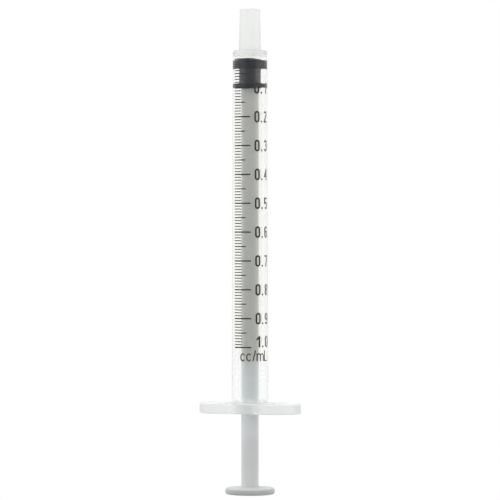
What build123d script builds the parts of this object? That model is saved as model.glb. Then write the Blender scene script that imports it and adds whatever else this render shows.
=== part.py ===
from build123d import *
import math
import os

# A one millilitre oral syringe with a bare slip tip, in millimetres.
# The Z axis is the bore axis.  Z = 0 is the rear face of the finger flange, and the
# tip points up.  The long way of the flange is X.  The print faces -Y, turned towards +X.
# The plunger is modelled pushed fully in.

# Scale: one millilitre in a bore of this diameter sets the length of the scale.
BORE_D = 4.71
CAPACITY_MM3 = 1000.0
BORE_AREA = math.pi * BORE_D ** 2 / 4
SCALE_LENGTH = CAPACITY_MM3 / BORE_AREA

# Barrel tube, drafted so that it is thicker at the flange.
BARREL_OD_FLANGE = 7.34
BARREL_OD_SHOULDER = 6.92
SHOULDER_Z = 72.54
SHOULDER_ROUND = 0.65
BORE_END_Z = 71.34
BORE_END_RISE = 0.3
MOUTH_D = 5.5
MOUTH_FLARE_Z = 3.2

# Ring inside the mouth that keeps the stopper from being pulled out.
BEAD_TOP_Z = 7.44
BEAD_WIDTH = 0.8
BEAD_HEIGHT = 0.13

# Slip tip with its channel, which is wider at the root.
TIP_LENGTH = 8.3
TIP_OD_ROOT = 4.46
TIP_OD_END = 4.04
TIP_ROUND = 0.35
CHANNEL_D = 1.2
CHANNEL_ROOT_D = 1.7
CHANNEL_ROOT_Z = 72.69
CHANNEL_STEP = 0.35

# Finger flange: an oval plate with its long sides cut flat.
FLANGE_LENGTH = 21.0
FLANGE_DEPTH = 9.2
FLANGE_THICKNESS = 2.0
FLANGE_ROUND = 0.25
FLANGE_ROOT_ROUND = 0.25

# Rubber stopper: two sealing ribs, a waist between them, and a shallow cone in front.
STOPPER_FRONT_Z = 70.66
RIB_D = BORE_D - 0.02
WAIST_D = 4.32
FRONT_RIB_HEIGHT = 1.95
WAIST_HEIGHT = 2.75
REAR_RIB_HEIGHT = 1.0
RIB_ROUND = 0.12
NOSE_HEIGHT = 0.28
NOSE_D = 1.4

# Snap joint between rod and stopper.
SNAP_CLEARANCE = 0.05
NECK_D = 1.9
NECK_LENGTH = 1.3
BARB_D = 2.9
BARB_TIP_D = 1.7
BARB_RIM = 0.35
BARB_CONE = 1.3

# Plunger rod with its thumb disc.
ROD_D = 3.49
ROD_END_CHAMFER = 0.15
DISC_TOP_Z = -14.91
DISC_D = 9.9
DISC_THICKNESS = 1.26
DISC_ROUND = 0.4
ROD_FOOT_ROUND = 0.35

# Printed scale.  Angles are degrees round the barrel from -Y, positive towards +X, at
# the middle of the scale.  The print leans a little as it runs towards the flange.
PRINT_LEAN = 5.0
INK_THICKNESS = 0.03
DIVISIONS = 100
DIVISIONS_PER_NUMERAL = 10
DIVISIONS_PER_HALF = 5
LINE_START_ANGLE = -38.5
SHORT_END_ANGLE = -9.5
MIDDLE_END_ANGLE = 5.5
LONG_END_ANGLE = 21.7
SHORT_LINE_WIDTH = 0.18
MIDDLE_LINE_WIDTH = 0.21
LONG_LINE_WIDTH = 0.26

# Numerals: bold pen strokes.  Bowl and bar heights are shares of the numeral's height.
NUMERAL_HEIGHT = 2.3
NUMERAL_WEIGHT = 0.35
UPPER_BOWL = 0.235
LOWER_BOWL = 0.265
BIG_BOWL = 0.29
FOUR_BAR = 0.3
UNITS_ANGLE = 44.7
UNITS_WIDTH = 1.13
POINT_ANGLE = 62.0
POINT_WIDTH = 0.38
TENTHS_ANGLE = 81.3
TENTHS_WIDTH = 1.13
ONE_WIDTH = 0.86

# Unit label in lighter letters under the last line.
LABEL_CAP_HEIGHT = 2.2
LABEL_X_HEIGHT = 1.58
LABEL_WEIGHT = 0.23
LABEL_GAP = 0.12
LABEL_START_ANGLE = -14.8
LABEL_BELOW_LINE = 2.75
LABEL_LETTERS = "cc/mL"
LABEL_WIDTHS = {"c": 1.14, "/": 0.74, "m": 1.72, "L": 1.0}
LABEL_SMALL = "cm"

# Pen strokes, in degrees: quarter, half and whole turns, how far an open hook curls, how
# far the bowl of a five curls, and how far the letter c stays open on each side.
QUARTER = 90.0
HALF = 180.0
WHOLE = 360.0
HOOK = 160.0
FIVE_HOOK = 138.0
C_OPENING = 40.0

# Drawing aids: how far a cutting shape runs past what it cuts.
OVERRUN = 0.5


def turned(points):
    """A solid of revolution about Z from (radius, height) corners."""
    outline = Polyline([(r, 0, z) for r, z in points], close=True)
    return revolve(make_face(outline), axis=Axis.Z)


def barrel_radius(z):
    """Outside radius of the drafted barrel at a height above the flange."""
    share = z / SHOULDER_Z
    return (BARREL_OD_FLANGE + (BARREL_OD_SHOULDER - BARREL_OD_FLANGE) * share) / 2


def edges_at(solid, z, radius):
    """Circular edges of a solid at one height and radius."""
    circles = solid.edges().filter_by(GeomType.CIRCLE)
    return [
        e for e in circles
        if abs(e.radius - radius) < 0.01 and abs(e.center().Z - z) < 0.01
    ]


def barrel_outside():
    """Tube, shoulder and tip as one turned solid with rounded rims."""
    tip_end = SHOULDER_Z + TIP_LENGTH
    body = turned([
        (0, 0),
        (BARREL_OD_FLANGE / 2, 0),
        (BARREL_OD_SHOULDER / 2, SHOULDER_Z),
        (TIP_OD_ROOT / 2, SHOULDER_Z),
        (TIP_OD_END / 2, tip_end),
        (0, tip_end),
    ])
    body = fillet(edges_at(body, SHOULDER_Z, BARREL_OD_SHOULDER / 2), SHOULDER_ROUND)
    return fillet(edges_at(body, tip_end, TIP_OD_END / 2), TIP_ROUND)


def bore():
    """The space inside: mouth flare, bore with its bead, end cone and tip channel."""
    r = BORE_D / 2
    bead_low = BEAD_TOP_Z - BEAD_WIDTH
    slope = BEAD_WIDTH / 3
    tip_end = SHOULDER_Z + TIP_LENGTH
    return turned([
        (0, -OVERRUN),
        (MOUTH_D / 2, -OVERRUN),
        (MOUTH_D / 2, 0),
        (r, MOUTH_FLARE_Z),
        (r, bead_low),
        (r - BEAD_HEIGHT, bead_low + slope),
        (r - BEAD_HEIGHT, BEAD_TOP_Z - slope),
        (r, BEAD_TOP_Z),
        (r, BORE_END_Z),
        (CHANNEL_ROOT_D / 2, BORE_END_Z + BORE_END_RISE),
        (CHANNEL_ROOT_D / 2, CHANNEL_ROOT_Z),
        (CHANNEL_D / 2, CHANNEL_ROOT_Z + CHANNEL_STEP),
        (CHANNEL_D / 2, tip_end + OVERRUN),
        (0, tip_end + OVERRUN),
    ])


def flange():
    """Oval finger plate with softened edges."""
    oval = SlotOverall(FLANGE_LENGTH, FLANGE_DEPTH)
    plate = extrude(oval, FLANGE_THICKNESS)
    rims = plate.edges().filter_by(lambda e: abs(e.tangent_at(0.5).Z) < 0.5)
    return fillet(rims, FLANGE_ROUND)


def make_barrel():
    """Barrel, tip and finger flange, which are moulded in one piece."""
    body = barrel_outside() + flange()
    root = edges_at(body, FLANGE_THICKNESS, barrel_radius(FLANGE_THICKNESS))
    body = fillet(root, FLANGE_ROOT_ROUND)
    return body - bore()


def stopper_outside():
    """Ribs, waist and nose of the stopper."""
    rib = RIB_D / 2
    waist = WAIST_D / 2
    z1 = STOPPER_FRONT_Z - FRONT_RIB_HEIGHT
    z2 = z1 - WAIST_HEIGHT
    z3 = z2 - REAR_RIB_HEIGHT
    body = turned([
        (0, z3),
        (rib, z3),
        (rib, z2),
        (waist, z2),
        (waist, z1),
        (rib, z1),
        (rib, STOPPER_FRONT_Z),
        (NOSE_D / 2, STOPPER_FRONT_Z + NOSE_HEIGHT),
        (0, STOPPER_FRONT_Z + NOSE_HEIGHT),
    ])
    rims = [e for z in (z1, z2, z3) for e in edges_at(body, z, rib)]
    return fillet(rims, RIB_ROUND)


def stopper_rear_z():
    """Height of the stopper's rear face."""
    return STOPPER_FRONT_Z - FRONT_RIB_HEIGHT - WAIST_HEIGHT - REAR_RIB_HEIGHT


def snap_profile(grow):
    """Corners of the rod's neck and barb, enlarged by a clearance for the socket."""
    shelf = stopper_rear_z() + NECK_LENGTH
    rim = shelf + BARB_RIM
    top = rim + BARB_CONE
    return [
        (NECK_D / 2 + grow, shelf - grow),
        (BARB_D / 2 + grow, shelf - grow),
        (BARB_D / 2 + grow, rim),
        (BARB_TIP_D / 2 + grow, top + grow),
        (0, top + grow),
    ]


def make_stopper():
    """Stopper with the undercut socket that grips the rod."""
    rear = stopper_rear_z()
    neck = NECK_D / 2 + SNAP_CLEARANCE
    socket = turned([(0, rear - OVERRUN), (neck, rear - OVERRUN)] + snap_profile(SNAP_CLEARANCE))
    return stopper_outside() - socket


def make_plunger_rod():
    """Rod with thumb disc at one end and neck and barb at the other."""
    rod = ROD_D / 2
    shoulder = stopper_rear_z() - SNAP_CLEARANCE
    disc_low = DISC_TOP_Z - DISC_THICKNESS
    body = turned([
        (0, disc_low),
        (DISC_D / 2, disc_low),
        (DISC_D / 2, DISC_TOP_Z),
        (rod, DISC_TOP_Z),
        (rod, shoulder),
        (NECK_D / 2, shoulder),
    ] + snap_profile(0))
    rims = edges_at(body, disc_low, DISC_D / 2) + edges_at(body, DISC_TOP_Z, DISC_D / 2)
    body = fillet(rims, DISC_ROUND)
    body = fillet(edges_at(body, DISC_TOP_Z, rod), ROD_FOOT_ROUND)
    return chamfer(edges_at(body, shoulder, rod), ROD_END_CHAMFER)


def line_height(division):
    """Height of a scale line, counted from zero at the tip end."""
    return STOPPER_FRONT_Z - SCALE_LENGTH * division / DIVISIONS


def lean(z):
    """Angle that the print has drifted by at a height."""
    middle = line_height(DIVISIONS / 2)
    return PRINT_LEAN * (middle - z) / SCALE_LENGTH


def scale_line(division, end_angle, width):
    """One printed line: a strip of ink that follows the barrel's cone."""
    line = line_height(division)
    low = line - width / 2
    high = low + width
    outline = Polyline([
        (barrel_radius(low), 0, low),
        (barrel_radius(low) + INK_THICKNESS, 0, low),
        (barrel_radius(high) + INK_THICKNESS, 0, high),
        (barrel_radius(high), 0, high),
    ], close=True)
    strip = revolve(make_face(outline), axis=Axis.Z, revolution_arc=end_angle - LINE_START_ANGLE)
    return Rot(0, 0, LINE_START_ANGLE + lean(line) - 90) * strip


def scale_lines(divisions, end_angle, width):
    """A set of equal printed lines as one compound."""
    return Compound(children=[scale_line(d, end_angle, width) for d in divisions])


def ink_shell(low, high):
    """The thin cone of space that ink fills between two heights."""
    return turned([
        (barrel_radius(low), low),
        (barrel_radius(low) + INK_THICKNESS, low),
        (barrel_radius(high) + INK_THICKNESS, high),
        (barrel_radius(high), high),
    ])


def facing(angle, z):
    """Plane on the bore axis that looks outwards at an angle from -Y."""
    a = math.radians(angle)
    return Plane(
        origin=(0, 0, z),
        x_dir=(math.cos(a), math.sin(a), 0),
        z_dir=(math.sin(a), -math.cos(a), 0),
    )


def bar(start, end, weight):
    """A straight pen stroke with round ends."""
    (x0, y0), (x1, y1) = start, end
    length = math.hypot(x1 - x0, y1 - y0)
    slope = math.degrees(math.atan2(y1 - y0, x1 - x0))
    stroke = Rot(0, 0, slope) * SlotOverall(length + weight, weight)
    return Pos((x0 + x1) / 2, (y0 + y1) / 2) * stroke


def bow(centre, rx, ry, start, end, weight):
    """A curved pen stroke along part of an ellipse, between two angles in degrees."""
    half = weight / 2
    sweep = end - start
    outer = EllipticalCenterArc(centre, rx + half, ry + half, start, arc_size=sweep)
    inner = EllipticalCenterArc(centre, rx - half, ry - half, start, arc_size=sweep)
    caps = [Line(outer @ 0, inner @ 0), Line(outer @ 1, inner @ 1)]
    return make_face([outer, inner] + caps)


def ring(centre, rx, ry, weight):
    """A closed oval pen stroke."""
    half = weight / 2
    return Pos(*centre) * (Ellipse(rx + half, ry + half) - Ellipse(rx - half, ry - half))


def digit_strokes(char, a, h, w):
    """Pen strokes of a digit: half its width, its height, both between stroke middles."""
    top = h - a
    upper = h * UPPER_BOWL
    lower = h * LOWER_BOWL
    big = h * BIG_BOWL
    foot = h * FOUR_BAR
    if char == "0":
        return [
            bow((0, top), a, a, 0, HALF, w),
            bow((0, a), a, a, HALF, WHOLE, w),
            bar((-a, a), (-a, top), w),
            bar((a, a), (a, top), w),
        ]
    if char == "1":
        return [bar((a, 0), (a, h), w), bar((a, h), (-a, h - 2 * a), w)]
    if char == "2":
        return [
            bow((0, top), a, a, 0, HOOK, w),
            bar((a, top), (-a, 0), w),
            bar((-a, 0), (a, 0), w),
        ]
    if char == "3":
        return [
            bow((0, h - upper), a, upper, -QUARTER, HOOK, w),
            bow((0, lower), a, lower, -HOOK, QUARTER, w),
        ]
    if char == "4":
        return [
            bar((a / 2, 0), (a / 2, h), w),
            bar((a / 2, h), (-a, foot), w),
            bar((-a, foot), (a, foot), w),
        ]
    if char == "5":
        return [
            bar((-a, h), (a, h), w),
            bar((-a, h), (-a, h / 2), w),
            bow((0, big), a, big, -FIVE_HOOK, FIVE_HOOK, w),
        ]
    if char == "6":
        return [
            ring((0, big), a, big, w),
            bar((-a, big), (-a, top), w),
            bow((0, top), a, a, HALF - HOOK, HALF, w),
        ]
    if char == "7":
        return [bar((-a, h), (a, h), w), bar((a, h), (-a / 3, 0), w)]
    if char == "8":
        return [ring((0, h - upper), a, upper, w), ring((0, lower), a, lower, w)]
    return [
        ring((0, h - big), a, big, w),
        bar((a, h - big), (a, a), w),
        bow((0, a), a, a, WHOLE - HOOK, WHOLE, w),
    ]


def letter_strokes(char, a, h, w):
    """Pen strokes of the letters and the slash in the unit label."""
    if char == "c":
        return [bow((0, h / 2), a, h / 2, C_OPENING, WHOLE - C_OPENING, w)]
    if char == "/":
        return [bar((-a, 0), (a, h), w)]
    if char == "L":
        return [bar((-a, 0), (-a, h), w), bar((-a, 0), (a, 0), w)]
    arch = a / 2
    spring = h - arch
    return [
        bar((-a, 0), (-a, h), w),
        bar((0, 0), (0, spring), w),
        bar((a, 0), (a, spring), w),
        bow((-arch, spring), arch, arch, 0, HALF, w),
        bow((arch, spring), arch, arch, 0, HALF, w),
    ]


def wrap(flat, angle, base_z, height):
    """Flat ink shape wrapped on the barrel, its foot at base_z."""
    plane = facing(angle + lean(base_z), base_z)
    block = extrude(plane * flat, barrel_radius(0) + OVERRUN)
    inked = block & ink_shell(base_z - OVERRUN, base_z + height + OVERRUN)
    return inked.solids()


def glyph(strokes, char, width, height, weight, angle, base_z):
    """One printed character drawn with a set of pen strokes."""
    parts = strokes(char, (width - weight) / 2, height - weight, weight)
    flat = Pos(0, weight / 2) * (Sketch() + parts)
    return wrap(flat, angle, base_z, height)


def numeral(tenths):
    """The three characters that name one long line."""
    tall = NUMERAL_HEIGHT
    whole = tenths // DIVISIONS_PER_NUMERAL
    last = tenths % DIVISIONS_PER_NUMERAL
    line = line_height(tenths * DIVISIONS_PER_NUMERAL)
    base = line if whole else line - tall / 2
    first_width = ONE_WIDTH if whole == 1 else UNITS_WIDTH
    last_width = ONE_WIDTH if last == 1 else TENTHS_WIDTH
    point = Pos(0, POINT_WIDTH / 2) * Circle(POINT_WIDTH / 2)
    return (
        glyph(digit_strokes, str(whole), first_width, tall, NUMERAL_WEIGHT, UNITS_ANGLE, base)
        + wrap(point, POINT_ANGLE, base, POINT_WIDTH)
        + glyph(digit_strokes, str(last), last_width, tall, NUMERAL_WEIGHT, TENTHS_ANGLE, base)
    )


def make_numerals():
    """All numerals of the scale, from one tenth to one."""
    count = DIVISIONS // DIVISIONS_PER_NUMERAL
    return Compound(children=[s for n in range(1, count + 1) for s in numeral(n)])


def make_unit_label():
    """The unit under the last line, in lighter letters."""
    top = line_height(DIVISIONS) - LABEL_BELOW_LINE + LABEL_CAP_HEIGHT
    base = top - LABEL_CAP_HEIGHT
    radius = barrel_radius(base)
    run = math.radians(LABEL_START_ANGLE) * radius
    solids = []
    for char in LABEL_LETTERS:
        width = LABEL_WIDTHS[char]
        height = LABEL_X_HEIGHT if char in LABEL_SMALL else LABEL_CAP_HEIGHT
        angle = math.degrees((run + width / 2) / radius)
        solids += glyph(letter_strokes, char, width, height, LABEL_WEIGHT, angle, base)
        run += width + LABEL_GAP
    return Compound(children=solids)


def division_sets():
    """Split the divisions into long, middle and short lines."""
    every = range(DIVISIONS + 1)
    long_lines = [d for d in every if d % DIVISIONS_PER_NUMERAL == 0]
    half = [d for d in every if d % DIVISIONS_PER_HALF == 0 and d not in long_lines]
    short = [d for d in every if d % DIVISIONS_PER_HALF]
    return long_lines, half, short


def make_nodes():
    """Every separate piece by name."""
    long_lines, half, short = division_sets()
    return {
        "barrel": make_barrel(),
        "plunger_rod": make_plunger_rod(),
        "stopper": make_stopper(),
        "scale_lines_long": scale_lines(long_lines, LONG_END_ANGLE, LONG_LINE_WIDTH),
        "scale_lines_middle": scale_lines(half, MIDDLE_END_ANGLE, MIDDLE_LINE_WIDTH),
        "scale_lines_short": scale_lines(short, SHORT_END_ANGLE, SHORT_LINE_WIDTH),
        "scale_numerals": make_numerals(),
        "unit_label": make_unit_label(),
    }


os.makedirs("parts", exist_ok=True)
for name, shape in make_nodes().items():
    export_step(shape, f"parts/{name}.step")
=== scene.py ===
import math

import bmesh
import bpy
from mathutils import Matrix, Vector


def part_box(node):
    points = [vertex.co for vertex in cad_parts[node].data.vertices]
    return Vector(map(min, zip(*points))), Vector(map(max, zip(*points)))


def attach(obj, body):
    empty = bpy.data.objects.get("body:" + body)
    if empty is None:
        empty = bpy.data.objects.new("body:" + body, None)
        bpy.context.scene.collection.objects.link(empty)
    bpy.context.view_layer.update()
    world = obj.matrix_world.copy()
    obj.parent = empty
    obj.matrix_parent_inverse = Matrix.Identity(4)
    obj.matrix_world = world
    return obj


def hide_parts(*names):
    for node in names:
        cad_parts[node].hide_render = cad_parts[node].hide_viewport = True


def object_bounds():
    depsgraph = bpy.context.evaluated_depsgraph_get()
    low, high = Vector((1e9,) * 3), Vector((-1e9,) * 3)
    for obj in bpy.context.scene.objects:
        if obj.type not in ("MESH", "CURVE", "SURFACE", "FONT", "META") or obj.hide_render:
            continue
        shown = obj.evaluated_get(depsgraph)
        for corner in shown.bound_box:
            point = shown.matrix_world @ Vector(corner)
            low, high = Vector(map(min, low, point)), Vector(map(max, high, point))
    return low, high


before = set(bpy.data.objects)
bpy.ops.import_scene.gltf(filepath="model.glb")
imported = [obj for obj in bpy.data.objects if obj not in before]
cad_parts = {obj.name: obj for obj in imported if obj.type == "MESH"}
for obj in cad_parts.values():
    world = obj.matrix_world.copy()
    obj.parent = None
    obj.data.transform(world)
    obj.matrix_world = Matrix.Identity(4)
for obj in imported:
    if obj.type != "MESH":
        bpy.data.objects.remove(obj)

cad_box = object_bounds()

# Lengths are in millimetres; MM turns them into Blender's metres.
MM = 0.001
SIDES = 192
SHARP_EDGE = math.radians(50)

# ---------------------------------------------------------------- lathe-like meshes


def circle(radius, z):
    """One ring of points round the bore axis."""
    step = 2 * math.pi / SIDES
    return [(radius * math.cos(i * step), radius * math.sin(i * step), z) for i in range(SIDES)]


def oval(half_length, half_depth, z):
    """One ring of points on a plate outline with straight sides and round ends."""
    centre = half_length - half_depth
    ring = []
    for i in range(SIDES):
        t = 2 * math.pi * i / SIDES
        c, s = math.cos(t), math.sin(t)
        flat = half_depth / max(abs(s), 1e-9)
        if abs(flat * c) <= centre:
            d = flat
        else:
            d = centre * abs(c) + math.sqrt(half_depth ** 2 - (centre * s) ** 2)
        ring.append((d * c, d * s, z))
    return ring


def arc(centre_r, centre_z, radius, start, end, steps):
    """Points (r, z) on a round between two angles in degrees."""
    points = []
    for i in range(steps + 1):
        a = math.radians(start + (end - start) * i / steps)
        points.append((centre_r + radius * math.cos(a), centre_z + radius * math.sin(a)))
    return points


def run(points, steps):
    """The same column with extra points along its straight runs, so that shading stays even."""
    out = []
    for (r0, z0), (r1, z1) in zip(points, points[1:]):
        for i in range(steps):
            t = i / steps
            out.append((r0 + (r1 - r0) * t, z0 + (z1 - z0) * t))
    return out + [points[-1]]


def skin(name, rings, closed):
    """Mesh object from a stack of rings; its ends are closed by fans or joined to each other."""
    bm = bmesh.new()
    rows = [[bm.verts.new(Vector(p) * MM) for p in ring] for ring in rings]
    pairs = list(zip(rows, rows[1:]))
    if closed:
        pairs.append((rows[-1], rows[0]))
    for low, high in pairs:
        for i in range(SIDES):
            j = (i + 1) % SIDES
            bm.faces.new((low[i], low[j], high[j], high[i]))
    if not closed:
        for row in (rows[0], rows[-1]):
            middle = bm.verts.new(Vector((0, 0, row[0].co.z)))
            for i in range(SIDES):
                bm.faces.new((row[i], row[(i + 1) % SIDES], middle))
    bmesh.ops.recalc_face_normals(bm, faces=bm.faces)
    mesh = bpy.data.meshes.new(name)
    bm.to_mesh(mesh)
    bm.free()
    mesh.polygons.foreach_set("use_smooth", [True] * len(mesh.polygons))
    mesh.set_sharp_from_angle(angle=SHARP_EDGE)
    obj = bpy.data.objects.new(name, mesh)
    bpy.context.scene.collection.objects.link(obj)
    return obj


# ---------------------------------------------------------------- sizes
# Radii have no suffix.  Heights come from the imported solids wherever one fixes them.

barrel_lo, barrel_hi = [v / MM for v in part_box("barrel")]
rod_lo, rod_hi = [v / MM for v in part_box("plunger_rod")]
rubber_lo, rubber_hi = [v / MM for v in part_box("stopper")]

# Finger flange and the tube above it
FLANGE_A = barrel_hi.x
FLANGE_B = barrel_hi.y
FLANGE_T = 2.0
FLANGE_ROUND = 0.25
FLANGE_ROOT = 0.25
FLAT_MARGIN = 0.12
WALL_AT_FLANGE = 3.67
WALL_AT_SHOULDER = 3.46

# Shoulder, tip and the channel through it
TIP_END = barrel_hi.z
SHOULDER = TIP_END - 8.3
SHOULDER_ROUND = 0.65
TIP_AT_ROOT = 2.23
TIP_AT_END = 2.02
TIP_FOOT = 0.1
TIP_ROUND = 0.35
CHANNEL = 0.6
CHANNEL_MOUTH = 0.68
CHANNEL_ROOT = 0.85
CHANNEL_ROOT_Z = SHOULDER + 0.15

# Bore with its domed end, the shallow retaining ring and the flared mouth
BORE = 2.355
BORE_END = SHOULDER - 1.2
BORE_END_ROUND = 0.2
MOUTH = 2.75
FLARE_Z = 3.2
FLARE_STEP = 0.06
BEAD_TOP = 7.44
BEAD_WIDTH = 0.8
BEAD_HEIGHT = 0.07
BEAD_STEPS = 12

# Plunger rod
ROD = 1.745
DISC = 4.95
DISC_T = 1.26
DISC_ROUND = 0.42
DISC_DIMPLE = 0.05
FOOT_ROUND = 0.35
NECK = 0.95
NECK_LENGTH = 1.3
BARB = 1.45
BARB_RIM = 0.35
BARB_TIP = 0.85

# Rubber stopper; its ribs press 0.008 mm into the bore wall
RIB = BORE + 0.008
WAIST = 2.16
REAR_RIB_T = 1.0
FRONT_RIB_Z = 3.75
NOSE = 0.28
RIB_ROUND = 0.12
WAIST_ROUND = 0.14
FACE_ROUND = 0.2


def wall(z):
    """Outside radius of the drafted tube."""
    return WALL_AT_FLANGE + (WALL_AT_SHOULDER - WALL_AT_FLANGE) * z / SHOULDER


def tip_wall(z):
    """Outside radius of the tapered tip."""
    return TIP_AT_ROOT + (TIP_AT_END - TIP_AT_ROOT) * (z - SHOULDER) / (TIP_END - SHOULDER)


def flange_rings():
    """Rings from the mouth outwards round the finger flange and back to the tube."""
    rings = [circle(MOUTH, 0), circle(MOUTH + 0.15, 0), circle(3.3, 0)]
    f = FLANGE_ROUND
    for inset in (f + FLAT_MARGIN, f):
        rings.append(oval(FLANGE_A - inset, FLANGE_B - inset, 0))
    for r, z in arc(-f, f, f, -90, 0, 6)[1:] + arc(-f, FLANGE_T - f, f, 0, 90, 6):
        rings.append(oval(FLANGE_A + r, FLANGE_B + r, z))
    inset = f + FLAT_MARGIN
    rings.append(oval(FLANGE_A - inset, FLANGE_B - inset, FLANGE_T))
    tube = wall(FLANGE_T)
    rings.append(circle(tube + 0.4, FLANGE_T))
    for r, z in arc(tube + FLANGE_ROOT, FLANGE_T + FLANGE_ROOT, FLANGE_ROOT, 270, 180, 5):
        rings.append(circle(r, z))
    return rings


def outside_column():
    """Outside of tube, shoulder and tip, from the flange upwards."""
    s, t, foot = SHOULDER_ROUND, TIP_ROUND, TIP_FOOT
    column = run([(wall(2.6), 2.6), (wall(SHOULDER - s), SHOULDER - s)], 24)
    column += arc(wall(SHOULDER) - s, SHOULDER - s, s, 0, 90, 8)[1:]
    column += [(TIP_AT_ROOT + 0.3, SHOULDER)]
    column += arc(TIP_AT_ROOT + foot, SHOULDER + foot, foot, 270, 180, 4)
    low, high = SHOULDER + 0.3, TIP_END - t
    column += run([(tip_wall(low), low), (tip_wall(high), high)], 8)
    return column + arc(tip_wall(TIP_END) - t, high, t, 0, 90, 6)[1:]


def channel_column():
    """Channel from the tip's end down to the step of its wider root."""
    step, root = CHANNEL_ROOT_Z, CHANNEL_ROOT
    column = [(1.1, TIP_END), (CHANNEL_MOUTH, TIP_END), (CHANNEL, TIP_END - 0.08)]
    column += run([(CHANNEL, TIP_END - 0.3), (CHANNEL, step + 0.4)], 8)
    column += [(CHANNEL + 0.02, step + 0.31), (root - 0.02, step + 0.03)]
    return column + [(root, step - 0.05)]


def bore_column():
    """Wider root, domed end of the bore, bore, retaining ring and flared mouth."""
    e = BORE_END_ROUND
    column = [(CHANNEL_ROOT, BORE_END + 0.45), (0.9, BORE_END + 0.29), (1.0, BORE_END + 0.27)]
    column += [(BORE - 0.35, BORE_END + 0.06)]
    column += arc(BORE - e, BORE_END - 0.18, e, 80, 0, 5)
    column += run([(BORE, BORE_END - 0.5), (BORE, BEAD_TOP + 0.3)], 24)
    for i in range(BEAD_STEPS + 1):
        u = i / BEAD_STEPS
        lift = BEAD_HEIGHT * math.sin(math.pi * u) ** 2
        column.append((BORE - lift, BEAD_TOP - BEAD_WIDTH * u))
    column += run([(BORE, BEAD_TOP - BEAD_WIDTH - 0.3), (BORE, FLARE_Z + 0.4)], 3)
    flare = (BORE + FLARE_STEP, FLARE_Z - 0.5)
    column += [(BORE + 0.01, FLARE_Z), flare]
    return column + run([flare, (MOUTH - 0.03, 0.12)], 4)[1:]


def make_barrel():
    """Barrel, flange and tip as one closed skin, outside and inside."""
    column = outside_column() + channel_column() + bore_column()
    return skin("barrel_clear", flange_rings() + [circle(r, z) for r, z in column], True)


def make_rod():
    """Rod with its rounded disc, foot fillet, shoulder, neck and barb."""
    low, top, shelf = rod_lo.z, rod_hi.z, rubber_lo.z
    disc_top = low + DISC_T
    rim = DISC - DISC_ROUND
    barb = shelf + NECK_LENGTH
    column = [(0.4, low + DISC_DIMPLE), (1.0, low + DISC_DIMPLE), (1.06, low), (rim - 0.1, low)]
    column += arc(rim, low + DISC_ROUND, DISC_ROUND, -90, 0, 8)
    column += arc(rim, disc_top - DISC_ROUND, DISC_ROUND, 0, 90, 8)
    column += [(rim - 0.1, disc_top), (ROD + 0.5, disc_top)]
    column += arc(ROD + FOOT_ROUND, disc_top + FOOT_ROUND, FOOT_ROUND, 270, 180, 6)
    column += run([(ROD, disc_top + 0.6), (ROD, shelf - 0.3)], 30)
    column += [(ROD, shelf - 0.2), (ROD - 0.15, shelf - 0.05), (NECK, shelf - 0.05)]
    column += [(NECK, barb), (BARB, barb), (BARB, barb + BARB_RIM), (BARB_TIP, top)]
    return skin("rod_translucent", [circle(r, z) for r, z in column], False)


def make_stopper():
    """Rubber stopper whose soft ribs press against the bore wall."""
    low = rubber_lo.z
    face = rubber_hi.z - NOSE
    e, w = RIB_ROUND, WAIST_ROUND
    z1, z2 = low + REAR_RIB_T, low + FRONT_RIB_Z
    column = [(0.9, low + 3.0), (1.5, low + 1.65), (1.5, low + 1.25), (1.0, low + 1.25)]
    column += [(1.0, low), (RIB - e - 0.1, low)]
    column += arc(RIB - e, low + e, e, -90, 0, 5)
    column += arc(RIB - e, z1 - e, e, 0, 70, 5)
    column += arc(WAIST + w, z1 + w, w, 250, 180, 4)
    column += run([(WAIST, z1 + 0.3), (WAIST, z2 - 0.3)], 6)
    column += arc(WAIST + w, z2 - w, w, 180, 110, 4)
    column += arc(RIB - e, z2 + e, e, -70, 0, 5)
    column += arc(RIB - FACE_ROUND, face - FACE_ROUND, FACE_ROUND, 0, 80, 5)
    column += [(RIB - 0.4, face + 0.03), (0.85, face + 0.25)]
    column += [(0.7, face + NOSE), (0.3, face + NOSE)]
    return skin("stopper_rubber", [circle(r, z) for r, z in column], False)


# ---------------------------------------------------------------- materials

PLASTIC_IOR = 1.49
MILK = (0.835, 0.843, 0.84, 1)
CLEAR_BELOW = (0.975, 0.988, 0.99, 1)
# Painted shade: the tube's darker, warmer tint over the printed band.
CLEAR_PRINT_SHADE = (0.965, 0.963, 0.94, 1)
# Painted shade: the tube's darker tint at its outline.
WALL_EDGE_SHADE = (0.90, 0.91, 0.895, 1)
HAZY = (0.945, 0.949, 0.948, 1)
SHADOW_BELOW = (0.98, 0.995, 1, 1)
SHADOW_PRINTED = (0.89, 0.892, 0.86, 1)
ROD_DARK = (0.735, 0.75, 0.75, 1)
ROD_LIGHT = (0.76, 0.765, 0.77, 1)
ROD_LINE = (0.685, 0.70, 0.705, 1)
# Painted highlight: the rod's paler outline.
ROD_RIM_HIGHLIGHT = (0.96, 0.97, 0.97, 1)
RUBBER_DARK = (0.018, 0.022, 0.031, 1)
RUBBER_BLOOM = (0.033, 0.037, 0.049, 1)
INK_DARK = (0.012, 0.012, 0.011, 1)
INK_THIN = (0.05, 0.05, 0.046, 1)
# Painted sheen: the ink's paler tint where it is seen at a slant.
INK_GRAZING_SHEEN = (0.40, 0.39, 0.37, 1)
WHITE = (1, 1, 1, 1)

# Painted shade and light: the rod's tint is scaled down at the thumb disc, up near the barrel's
# mouth and down inside the flange.
# LEAK and PLATE are the middle of their zone, its full half width and where its effect ends.
DISC_SHADE = 0.77
DISC_FADE = 0.54
LEAK_GAIN = 1.1
LEAK = (3.0, 6.5, 9.5)
PLATE_SHADE = 0.83
PLATE = (1.0, 0.9, 1.4)


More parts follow.
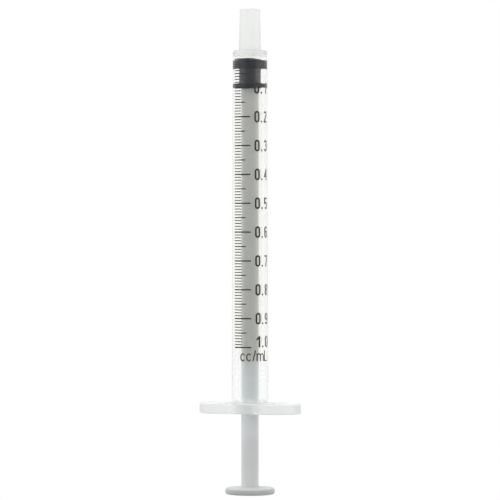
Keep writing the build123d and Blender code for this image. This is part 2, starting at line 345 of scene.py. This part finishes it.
class Nodes:
    """Small helper to wire a node tree."""

    def __init__(self, tree):
        self.tree = tree
        tree.nodes.clear()

    def fill(self, node, key, value):
        """Link a socket or set a plain value on one input."""
        if isinstance(value, bpy.types.NodeSocket):
            self.tree.links.new(value, node.inputs[key])
        else:
            node.inputs[key].default_value = value

    def add(self, kind, inputs=None, **settings):
        node = self.tree.nodes.new(kind)
        for key, value in settings.items():
            setattr(node, key, value)
        for key, value in (inputs or {}).items():
            self.fill(node, key, value)
        return node

    def math(self, operation, a, b=0.0, clamp=False):
        inputs = {0: a, 1: b}
        return self.add("ShaderNodeMath", inputs, operation=operation, use_clamp=clamp).outputs[0]

    def vector(self, operation, a, b=(0, 0, 0)):
        return self.add("ShaderNodeVectorMath", {0: a, 1: b}, operation=operation).outputs

    def ramp(self, value, low, high, to_low=0.0, to_high=1.0, smooth=True):
        """A value mapped from one range to another, held at its ends."""
        kind = "SMOOTHSTEP" if smooth else "LINEAR"
        inputs = {
            "Value": value, "From Min": low, "From Max": high, "To Min": to_low, "To Max": to_high,
        }
        return self.add("ShaderNodeMapRange", inputs, interpolation_type=kind).outputs["Result"]

    def noise(self, scale, detail, vector):
        inputs = {"Scale": scale, "Detail": detail, "Vector": vector}
        return self.add("ShaderNodeTexNoise", inputs).outputs["Fac"]

    def bump(self, strength, depth, height):
        """Bumps of a depth in millimetres."""
        inputs = {"Strength": strength, "Distance": depth * MM, "Height": height}
        return self.add("ShaderNodeBump", inputs).outputs[0]

    def light_path(self, ray):
        return self.add("ShaderNodeLightPath").outputs[ray]

    def bounced(self, ray):
        """0 straight from the camera, 1 after any bounce of that kind."""
        return self.math("MINIMUM", self.light_path(ray), 1.0)

    def mix(self, factor, a, b):
        return self.add("ShaderNodeMixShader", {0: factor, 1: a, 2: b}).outputs[0]

    def color(self, factor, a, b):
        return self.add("ShaderNodeMix", {0: factor, 6: a, 7: b}, data_type="RGBA").outputs[2]

    def blend(self, factor, a, b):
        return self.add("ShaderNodeMix", {0: factor, 2: a, 3: b}, data_type="FLOAT").outputs[0]

    def facing(self):
        """0 where the surface faces the viewer, 1 at its outline."""
        return self.add("ShaderNodeLayerWeight", {"Blend": 0.5}).outputs["Facing"]

    def surface(self, shader):
        self.add("ShaderNodeOutputMaterial", {"Surface": shader})


def material(name):
    """A new node material with its wiring helper."""
    mat = bpy.data.materials.new(name)
    mat.use_nodes = True
    return mat, Nodes(mat.node_tree)


def object_coords(n, stretch=(1, 1, 1)):
    """Object coordinates in metres and a stretched copy for moulding marks."""
    coords = n.add("ShaderNodeTexCoord").outputs["Object"]
    return coords, n.vector("MULTIPLY", coords, stretch)[0]


def height_of(n, coords):
    """Height above the origin, in metres."""
    return n.add("ShaderNodeSeparateXYZ", {0: coords}).outputs["Z"]


def zone(n, height, span, gain):
    """A factor that is gain inside a zone of heights and 1 away from it."""
    middle, near, far = span
    away = n.math("ABSOLUTE", n.math("SUBTRACT", height, middle * MM))
    return n.ramp(away, near * MM, far * MM, gain, 1.0)


def clear_plastic():
    """Clear moulded plastic: clean tube, hazier tip and flange, faint flow marks, and painted
    shade over the printed band and at the tube's outline.
    """
    mat, n = material("clear_polypropylene")
    coords, flow = object_coords(n, (1, 1, 0.004))
    z = height_of(n, coords)
    level = n.vector("MULTIPLY", coords, (1, 1, 0))[0]
    reach = n.vector("LENGTH", level)["Value"]
    wing = n.ramp(reach, 4.7 * MM, 6.5 * MM)
    tip = n.ramp(z, (BORE_END - 0.1) * MM, (BORE_END + 0.5) * MM)
    plate = n.ramp(z, (FLANGE_T - 0.1) * MM, (FLANGE_T + 1.0) * MM, 1.0, 0.0)
    milky = n.math("MAXIMUM", tip, plate)
    # Painted shade: the tube is tinted darker towards its outline, and its milky zones are hazier
    # there.
    edge = n.ramp(n.facing(), 0.22, 0.5)
    marks = n.noise(900, 3.0, flow)

    # Painted shade: over the printed band the tube is tinted darker and warmer, so the rod seen
    # through it looks shaded by the print.
    print_band_shade = n.ramp(z, 9.5 * MM, 11.5 * MM)
    tube = n.color(edge, n.color(print_band_shade, CLEAR_BELOW, CLEAR_PRINT_SHADE), WALL_EDGE_SHADE)
    plate_blur = n.math("MULTIPLY", plate, n.ramp(wing, 0, 1, 0.24, 0.4))
    blur = n.math("ADD", n.math("MULTIPLY", tip, 0.4), plate_blur)
    rough = n.math("ADD", n.ramp(marks, 0.3, 0.7, 0.0, 0.02), blur)
    glass = n.add("ShaderNodeBsdfPrincipled", {
        "Base Color": n.color(milky, tube, HAZY),
        "Roughness": rough, "IOR": PLASTIC_IOR, "Transmission Weight": 1.0,
        "Normal": n.bump(0.012, 0.01, marks),
    }).outputs[0]

    cloud = n.math("ADD", n.ramp(wing, 0, 1, 0.36, 0.44), n.math("MULTIPLY", edge, 0.10))
    haze = n.math("MULTIPLY", milky, cloud)
    haze = n.math("ADD", haze, n.ramp(marks, 0.3, 0.7, 0.01, 0.028), True)
    white = n.add("ShaderNodeBsdfDiffuse", {"Color": MILK}).outputs[0]
    through = n.add("ShaderNodeBsdfTranslucent", {"Color": MILK}).outputs[0]
    body = n.mix(haze, glass, n.mix(0.5, white, through))

    # Shadow rays pass straight through, a little weaker where the print is
    shade = n.color(print_band_shade, SHADOW_BELOW, SHADOW_PRINTED)
    clear = n.add("ShaderNodeBsdfTransparent", {"Color": shade}).outputs[0]
    n.surface(n.mix(n.light_path("Is Shadow Ray"), body, clear))
    return mat


def rod_plastic():
    """Natural translucent plastic with fine flow lines along the rod."""
    mat, n = material("natural_polypropylene")
    coords, flow = object_coords(n, (1, 1, 0.03))
    lines = n.noise(2600, 3.0, flow)
    cloud = n.noise(260, 2.0, coords)
    tint = n.color(n.ramp(cloud, 0.35, 0.65), ROD_DARK, ROD_LIGHT)
    tint = n.color(n.ramp(lines, 0.4, 0.7, 0.0, 0.3), tint, ROD_LINE)
    # Painted highlight: the rod is paler towards its outline, standing in for light through its
    # thin edges.
    tint = n.color(n.math("POWER", n.facing(), 1.2, True), tint, ROD_RIM_HIGHLIGHT)
    disc_top = rod_lo.z + DISC_T
    z = height_of(n, coords)
    # Painted shade: the thumb disc is darker, fading out just above its top.
    painted_disc_shade = n.ramp(z, disc_top * MM, (disc_top + DISC_FADE) * MM, DISC_SHADE, 1.0)
    # Light leaking out of the barrel's mouth brightens the part of the rod that is near it, and
    # the cloudy flange takes light off the part that is inside it.
    height = height_of(n, n.add("ShaderNodeNewGeometry").outputs["Position"])
    leak = zone(n, height, LEAK, LEAK_GAIN)
    shade = zone(n, height, PLATE, PLATE_SHADE)
    inputs = {0: tint, "Scale": n.math("MULTIPLY", painted_disc_shade, n.math("MULTIPLY", leak, shade))}
    tint = n.add("ShaderNodeVectorMath", inputs, operation="SCALE").outputs[0]
    body = n.add("ShaderNodeBsdfPrincipled", {
        "Base Color": tint, "Roughness": n.ramp(lines, 0.3, 0.7, 0.3, 0.42), "IOR": PLASTIC_IOR,
        "Transmission Weight": 0.15, "Normal": n.bump(0.15, 0.02, lines),
    }).outputs[0]
    through = n.add("ShaderNodeBsdfTranslucent", {"Color": tint}).outputs[0]
    n.surface(n.mix(0.25, body, through))
    return mat


def rubber():
    """Charcoal siliconed rubber with a fine bloom."""
    mat, n = material("charcoal_rubber")
    coords, _ = object_coords(n)
    bloom = n.noise(1400, 4.0, coords)
    pores = n.noise(12000, 2.0, coords)
    body = n.add("ShaderNodeBsdfPrincipled", {
        "Base Color": n.color(n.ramp(bloom, 0.35, 0.7), RUBBER_DARK, RUBBER_BLOOM),
        "Roughness": n.ramp(bloom, 0.3, 0.7, 0.42, 0.6),
        "Specular IOR Level": 0.16, "Normal": n.bump(0.25, 0.02, pores),
    }).outputs[0]
    n.surface(body)
    return mat


def ink():
    """Black print with slightly uneven cover, and a painted sheen that makes it paler where it is
    seen at a slant.
    """
    mat, n = material("print_ink")
    coords, _ = object_coords(n)
    cover = n.noise(6000, 3.0, coords)
    tint = n.color(n.ramp(cover, 0.35, 0.75), INK_DARK, INK_THIN)
    body = n.add("ShaderNodeBsdfPrincipled", {
        "Base Color": n.color(n.ramp(n.facing(), 0.3, 0.75), tint, INK_GRAZING_SHEEN),
        "Roughness": 0.55, "Specular IOR Level": 0.3, "Normal": n.bump(0.2, 0.01, cover),
    }).outputs[0]
    n.surface(body)
    return mat


def floor_paint():
    """Plain pale floor that fades into the white surround."""
    mat, n = material("pale_floor")
    coords, _ = object_coords(n)
    far = n.vector("LENGTH", coords)["Value"]
    speck = n.noise(300, 2.0, coords)
    tint = n.color(speck, (0.86, 0.86, 0.86, 1), (0.88, 0.88, 0.88, 1))
    paint = n.add("ShaderNodeBsdfDiffuse", {"Color": tint}).outputs[0]
    lit = n.bounced("Diffuse Depth")
    glow_inputs = {"Color": WHITE, "Strength": n.blend(lit, 1.0, 0.2)}
    glow = n.add("ShaderNodeEmission", glow_inputs).outputs[0]
    fade = n.math("MAXIMUM", n.ramp(far, 0.02, 0.42, 0.35, 1.0), lit)
    n.surface(n.mix(fade, paint, glow))
    return mat


# ---------------------------------------------------------------- pieces

for piece, node, slot, look in (
    (make_barrel(), "barrel", "barrel_plastic", clear_plastic()),
    (make_rod(), "plunger_rod", "rod_plastic", rod_plastic()),
    (make_stopper(), "stopper", "stopper_rubber", rubber()),
):
    piece.data.materials.append(look)
    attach(piece, node)  # each body has the name of its moulded node
    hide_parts(node)

print_look = ink()
PRINTS = (
    "scale_lines_long", "scale_lines_middle", "scale_lines_short", "scale_numerals", "unit_label"
)
for node in PRINTS:
    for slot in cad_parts[node].material_slots:
        slot.material = print_look

# ---------------------------------------------------------------- floor

# The floor lies below the thumb disc even when the plunger is drawn right out
TRAVEL_M = 0.0575
FLOOR_GAP_M = 0.012
FLOOR_RADIUS_M = 0.45
bm = bmesh.new()
bmesh.ops.create_circle(bm, cap_ends=True, segments=96, radius=FLOOR_RADIUS_M)
floor_mesh = bpy.data.meshes.new("floor")
bm.to_mesh(floor_mesh)
bm.free()
floor = bpy.data.objects.new("floor", floor_mesh)
floor.location = (0, 0, cad_box[0][2] - TRAVEL_M - FLOOR_GAP_M)
floor.data.materials.append(floor_paint())
bpy.context.scene.collection.objects.link(floor)

# ---------------------------------------------------------------- surround and light

# Seen directly or through clear plastic the surround is white.  It lights dull surfaces
# more softly, and reflections see a dark patch round the camera, which draws the outlines
# of clear plastic.
YAW = math.radians(20)
TOWARDS_OBJECT = (-math.sin(YAW), math.cos(YAW), 0.0)
WALL_LOSS = 0.03
PATCH = 0.05
world = bpy.data.worlds.new("studio")
bpy.context.scene.world = world
world.use_nodes = True
w = Nodes(world.node_tree)
direction = w.add("ShaderNodeTexCoord").outputs["Generated"]
up = w.add("ShaderNodeSeparateXYZ", {0: direction}).outputs["Z"]
below = w.ramp(up, -1.0, 0.0, 0.10, 0.76, smooth=False)
above = w.ramp(up, 0.0, 1.0, 0.0, 1.0, smooth=False)
loss = w.math("MULTIPLY", w.bounced("Transmission Depth"), WALL_LOSS)
soft = w.math("MULTIPLY", w.math("ADD", below, above), w.math("SUBTRACT", 1.0, loss))
behind = w.vector("DOT_PRODUCT", direction, TOWARDS_OBJECT)["Value"]
steep = w.ramp(w.math("ABSOLUTE", up), 0.1, 0.24)
mirror = w.math("MAXIMUM", w.ramp(behind, -1.0, -0.45, PATCH, 1.0), steep)
seen = w.blend(w.bounced("Glossy Depth"), 1.0, mirror)
strength = w.blend(w.bounced("Diffuse Depth"), seen, soft)
sky = w.add("ShaderNodeBackground", {"Color": WHITE, "Strength": strength})
w.add("ShaderNodeOutputWorld", {"Surface": sky.outputs[0]})


def aim(obj, place, target):
    """Put a light or camera somewhere and point it at a target."""
    obj.location = place
    obj.rotation_euler = (Vector(target) - obj.location).to_track_quat("-Z", "Y").to_euler()
    bpy.context.scene.collection.objects.link(obj)


light = bpy.data.lights.new("softbox", "AREA")
light.shape = "RECTANGLE"
light.size, light.size_y = 0.5, 0.4
light.energy = 0.6
aim(bpy.data.objects.new("softbox", light), (-0.25, -0.30, 0.55), (0, 0, 0.03))

# ---------------------------------------------------------------- camera

DISTANCE_M = 0.600
EYE_Z_M = 0.03704
AIM_Z_M = 0.03264
data = bpy.data.cameras.new("camera")
data.sensor_width = 36
data.lens = 216
data.clip_start = 0.01
data.clip_end = 10
camera = bpy.data.objects.new("camera", data)
eye = (DISTANCE_M * math.sin(YAW), -DISTANCE_M * math.cos(YAW), EYE_Z_M)
aim(camera, eye, (0, 0, AIM_Z_M))
bpy.context.scene.camera = camera

scene = bpy.context.scene
scene.view_settings.view_transform = "Standard"
scene.cycles.max_bounces = 24
scene.cycles.transmission_bounces = 20
scene.cycles.transparent_max_bounces = 16
